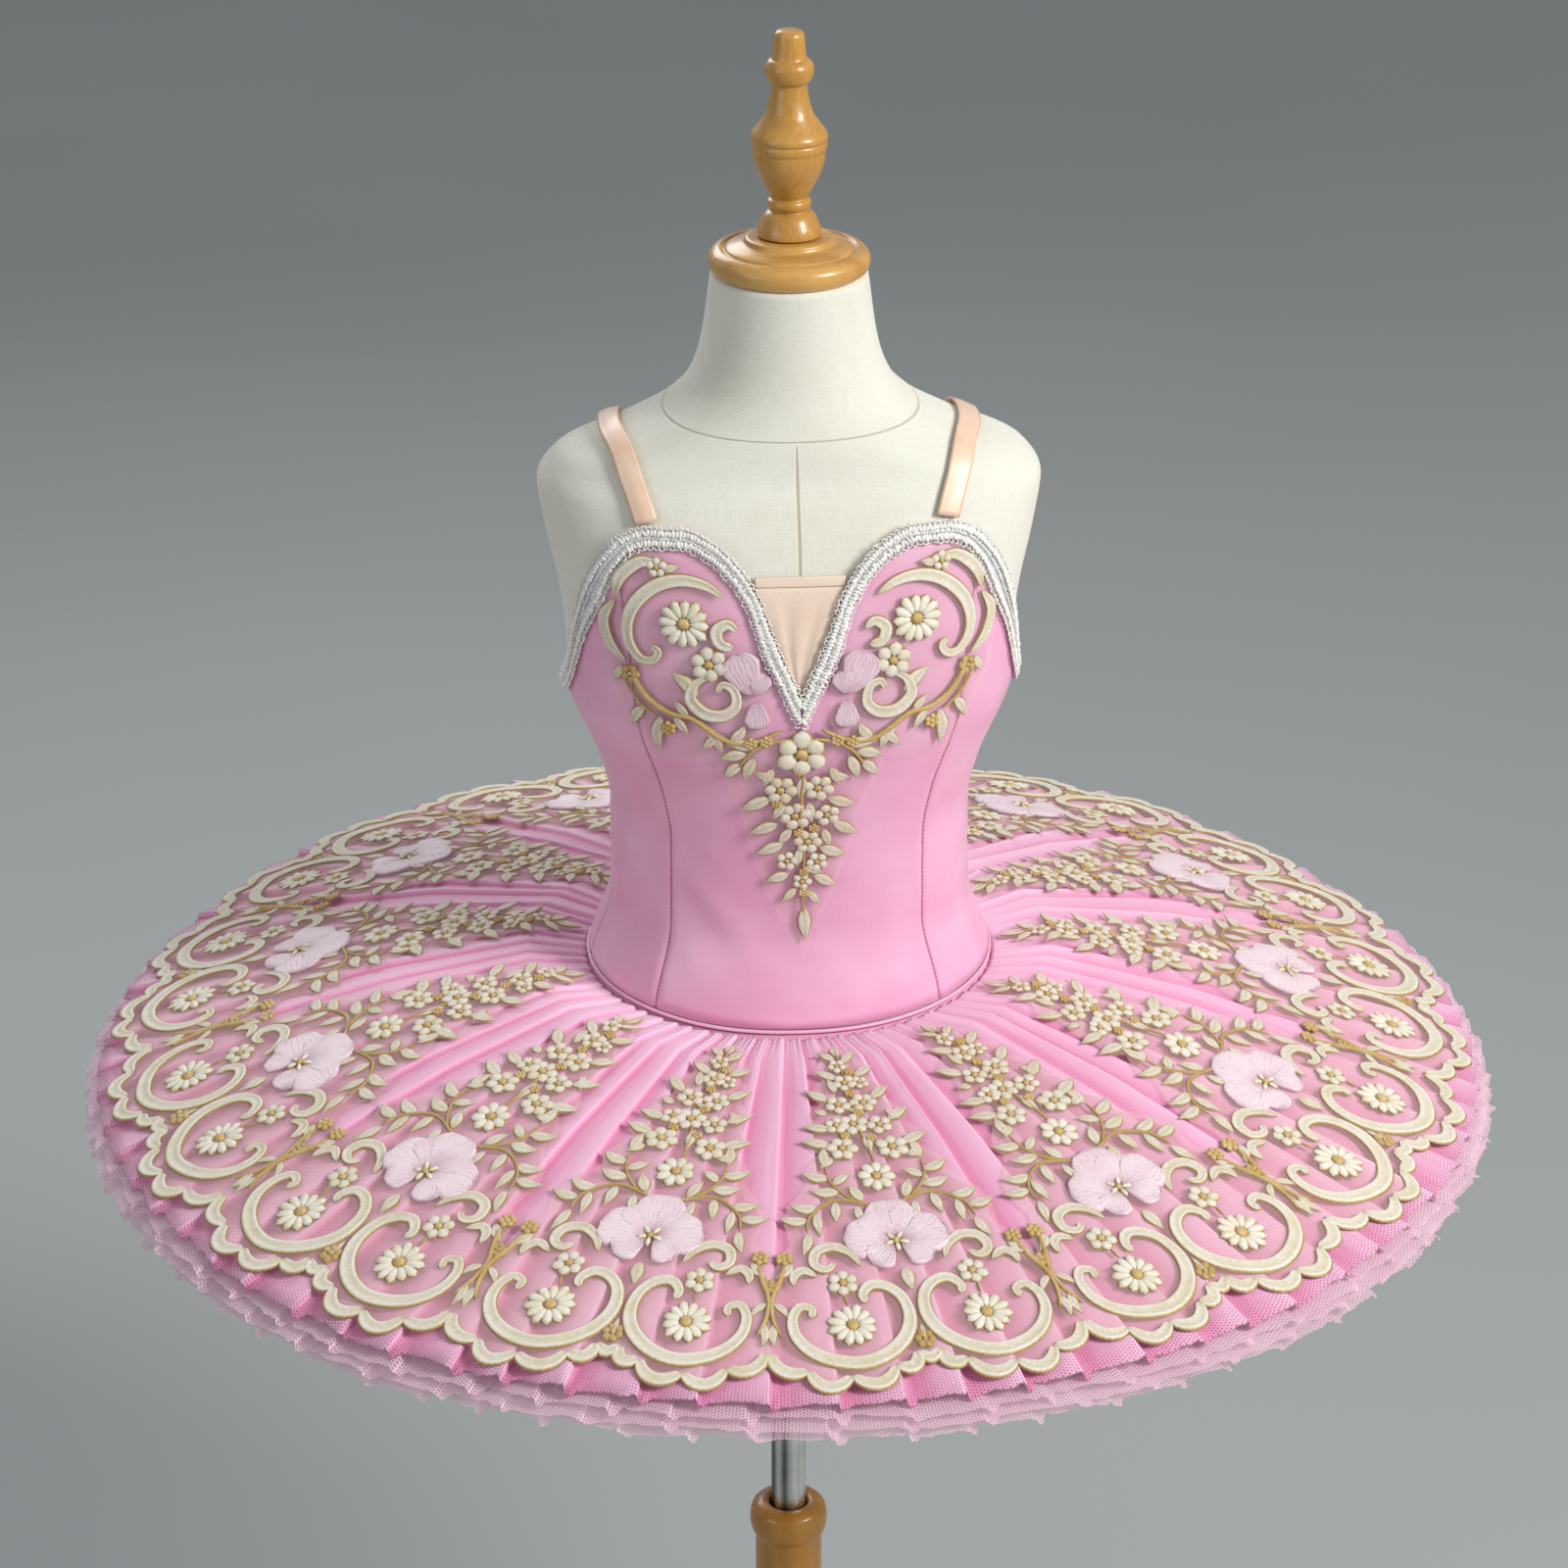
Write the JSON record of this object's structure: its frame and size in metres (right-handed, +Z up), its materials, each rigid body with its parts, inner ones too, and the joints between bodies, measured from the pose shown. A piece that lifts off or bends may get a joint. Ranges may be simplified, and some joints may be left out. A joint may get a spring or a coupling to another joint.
{
  "type": "ballet tutu on a dress form and stand",
  "caption": "Child's pink pancake tutu with satin bodice and ivory lace motifs, worn by a limbless linen dress form that slides and turns on a steel tube in a turned wooden stand.",
  "frame": {"origin": "centre of the underside of the stand's base, on the floor, under the axis of the tube", "axes": "+Z up along the tube; the wearer's front faces -Y and the wearer's left is +X"},
  "size_m": [0.822, 0.822, 1.3425],
  "materials": {
    "satin": "matt pink duchesse satin",
    "tulle": "saturated pink soft tulle, knife pleated",
    "net": "stiff pink hexagonal net",
    "lace": "ivory corded embroidery with gold thread",
    "braid": "silver-white picot braid",
    "ribbon": "peach satin ribbon",
    "skin_mesh": "skin-tone stretch mesh",
    "linen": "cream linen stretched over a rigid torso",
    "wood": "honey lacquer, semi-gloss",
    "steel": "brushed steel tube"
  },
  "bodies": {
    "stand": {"wood_base": "wood", "wood_post": "wood"},
    "tube": {"steel_tube": "steel"},
    "form": {"basque_piping": "satin", "bodice_back_left": "satin", "bodice_back_right": "satin", "bodice_centre_front": "satin", "bodice_lace_centre": "lace", "bodice_lace_left": "lace", "bodice_lace_right": "lace", "bodice_side_back_left": "satin", "bodice_side_back_right": "satin", "bodice_side_front_left": "satin", "bodice_side_front_right": "satin", "dress_form": "linen", "form_base_plate": "wood", "hip_yoke": "net", "modesty_panel": "skin_mesh", "modesty_panel_binding": "skin_mesh", "neck_braid_left": "braid", "neck_braid_right": "braid", "net_layer_1": "net", "net_layer_2": "net", "net_layer_3": "net", "skirt_lace_01": "lace", "skirt_lace_02": "lace", "skirt_lace_03": "lace", "skirt_lace_04": "lace", "skirt_lace_05": "lace", "skirt_lace_06": "lace", "skirt_lace_07": "lace", "skirt_lace_08": "lace", "skirt_lace_09": "lace", "skirt_lace_10": "lace", "skirt_lace_11": "lace", "skirt_lace_12": "lace", "skirt_lace_13": "lace", "strap_left": "ribbon", "strap_right": "ribbon", "tube_flange": "steel", "tulle_top_layer": "tulle", "wood_finial": "wood", "wood_neck_cap": "wood"}
  },
  "joints": [
    {"name": "height_slide", "type": "slide", "parent": "stand", "child": "tube", "axis": [0, 0, 1], "range_m": [-0.18, 0.1]},
    {"name": "form_swivel", "type": "hinge", "parent": "tube", "child": "form", "pos_m": [0, 0, 0.78], "axis": [0, 0, 1], "continuous": true}
  ]
}
